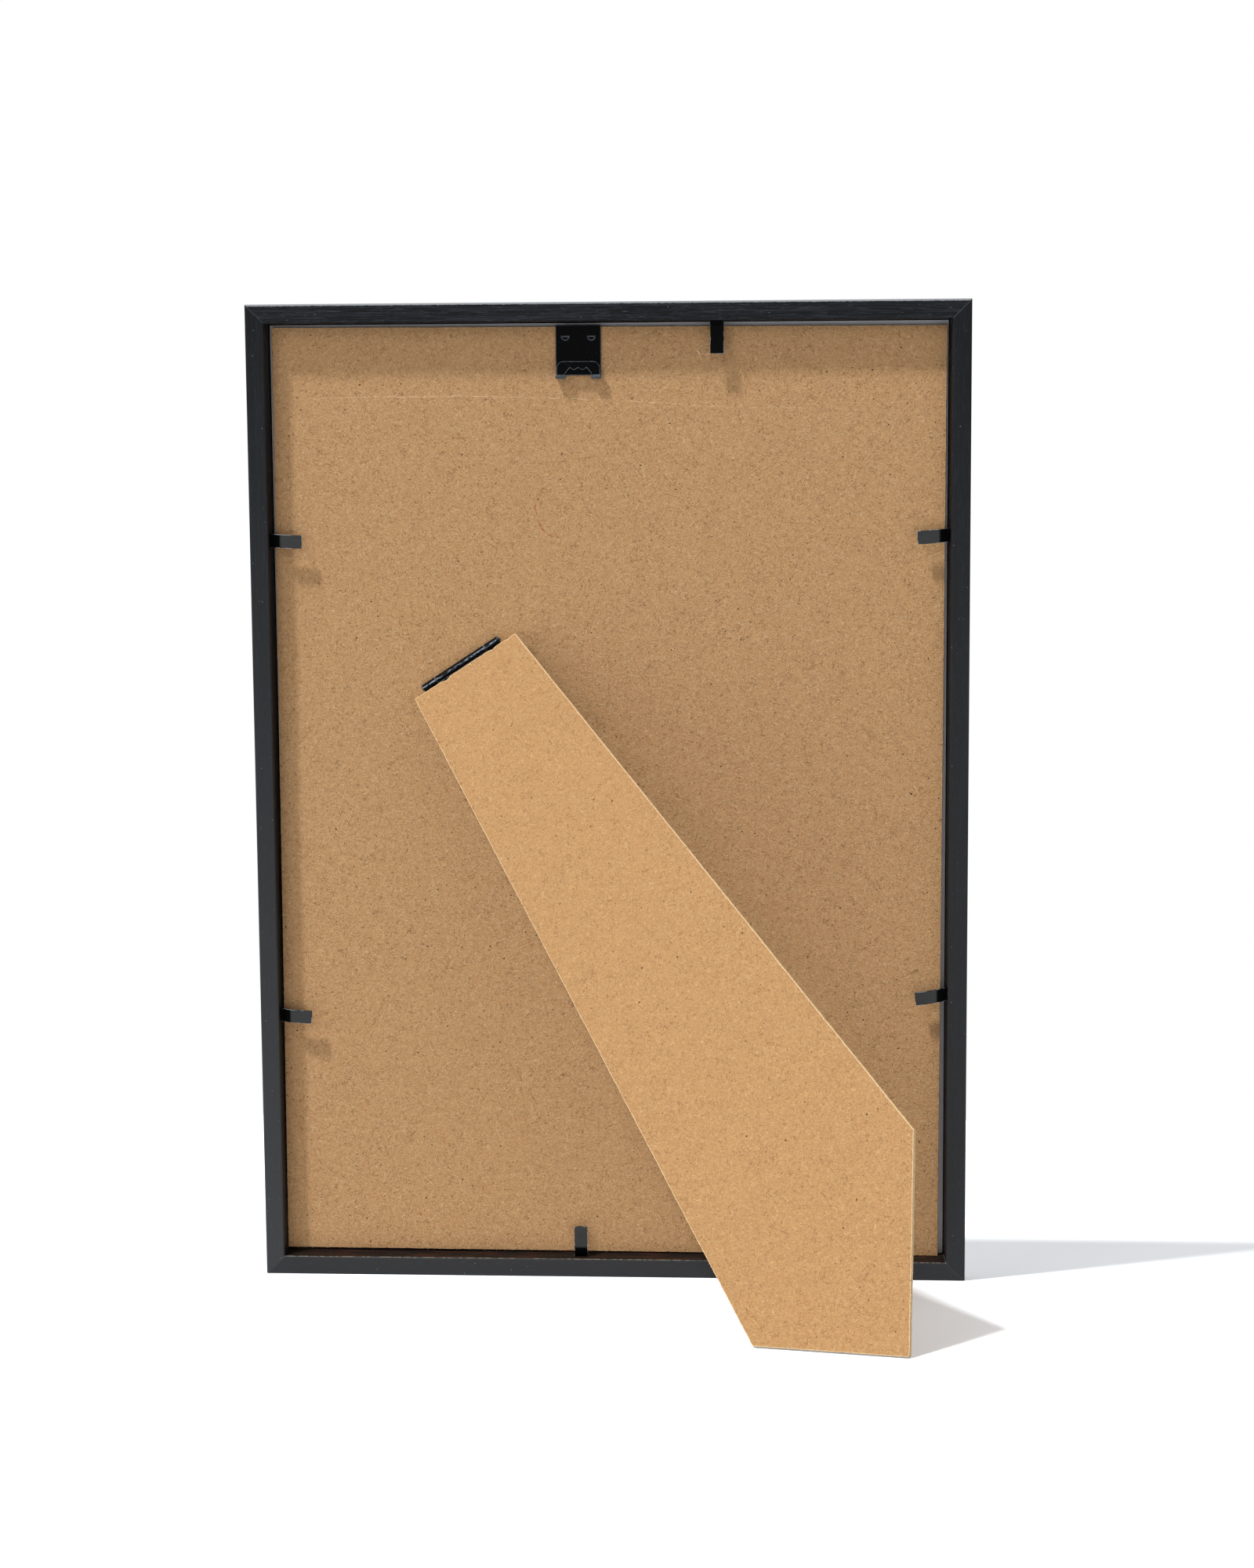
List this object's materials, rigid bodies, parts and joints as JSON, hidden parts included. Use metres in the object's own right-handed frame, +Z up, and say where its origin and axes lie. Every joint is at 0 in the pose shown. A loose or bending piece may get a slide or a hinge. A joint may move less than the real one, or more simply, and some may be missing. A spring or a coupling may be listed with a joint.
{
  "type": "easel back photo frame",
  "caption": "Upright A4 photo frame with a slim dark mitred moulding, a fibreboard back held by bendable tabs, a sawtooth wall hanger and a hinged easel strut shown open.",
  "frame": {"origin": "middle of the footprint, on the ground that the bottom rail's rear edge and the strut's foot stand on", "axes": "+Z up, +X to the right as seen from behind the frame, +Y towards the side that shows the picture"},
  "size_m": [0.224, 0.1462, 0.2987],
  "materials": {
    "moulding": "matte dark charcoal foil with a faint grain",
    "nail": "bare",
    "glazing": "clear polished",
    "insert": "blank white card",
    "fibreboard": "raw fibreboard, fine fibres",
    "strut": "raw fibreboard, smooth",
    "tab": "dark spring steel",
    "hanger": "black, satin",
    "hinge": "black, satin",
    "pin": "black, satin"
  },
  "bodies": {
    "frame": {"rail_top": "moulding", "rail_bottom": "moulding", "stile_left": "moulding", "stile_right": "moulding", "corner_nail_top_left": "nail", "corner_nail_top_right": "nail", "corner_nail_bottom_right": "nail", "corner_nail_bottom_left": "nail", "glazing_sheet": "glazing", "picture_insert": "insert", "backing_board": "fibreboard", "tab_root_left_upper": "tab", "tab_root_left_lower": "tab", "tab_root_right_upper": "tab", "tab_root_right_lower": "tab", "tab_root_top": "tab", "tab_root_bottom": "tab", "sawtooth_hanger": "hanger", "hinge_leaf_board": "hinge", "hinge_pin": "pin"},
    "strut": {"strut_board": "strut", "hinge_leaf_strut": "hinge"},
    "tab_left_upper": {"tab_blade_left_upper": "tab"},
    "tab_left_lower": {"tab_blade_left_lower": "tab"},
    "tab_right_upper": {"tab_blade_right_upper": "tab"},
    "tab_right_lower": {"tab_blade_right_lower": "tab"},
    "tab_top": {"tab_blade_top": "tab"},
    "tab_bottom": {"tab_blade_bottom": "tab"}
  },
  "joints": [
    {"name": "strut_hinge", "type": "hinge", "parent": "frame", "child": "strut", "pos_m": [-0.04657, 0.0055, 0.18923], "axis": [-0.8377, 0.1676, -0.5198], "range_deg": [-33, 0]},
    {"name": "tab_bend_left_upper", "type": "hinge", "parent": "frame", "child": "tab_left_upper", "pos_m": [-0.10561, -0.00774, 0.22624], "axis": [-0.0436, 0.3066, -0.9508], "range_deg": [-12, 80]},
    {"name": "tab_bend_left_lower", "type": "hinge", "parent": "frame", "child": "tab_left_lower", "pos_m": [-0.10559, 0.03896, 0.08138], "axis": [-0.0523, 0.3064, -0.9505], "range_deg": [-12, 80]},
    {"name": "tab_bend_right_upper", "type": "hinge", "parent": "frame", "child": "tab_right_upper", "pos_m": [0.10555, -0.00802, 0.22711], "axis": [-0.0732, -0.306, 0.9492], "range_deg": [-12, 80]},
    {"name": "tab_bend_right_lower", "type": "hinge", "parent": "frame", "child": "tab_right_lower", "pos_m": [0.1054, 0.03655, 0.08886], "axis": [-0.1461, -0.3036, 0.9415], "range_deg": [-12, 80]},
    {"name": "tab_bend_top", "type": "hinge", "parent": "frame", "child": "tab_top", "pos_m": [0.03416, -0.02836, 0.29017], "axis": [-1, 0, 0], "range_deg": [-12, 80]},
    {"name": "tab_bend_bottom", "type": "hinge", "parent": "frame", "child": "tab_bottom", "pos_m": [-0.01036, 0.06309, 0.00655], "axis": [1, 0, 0], "range_deg": [-12, 80]}
  ]
}
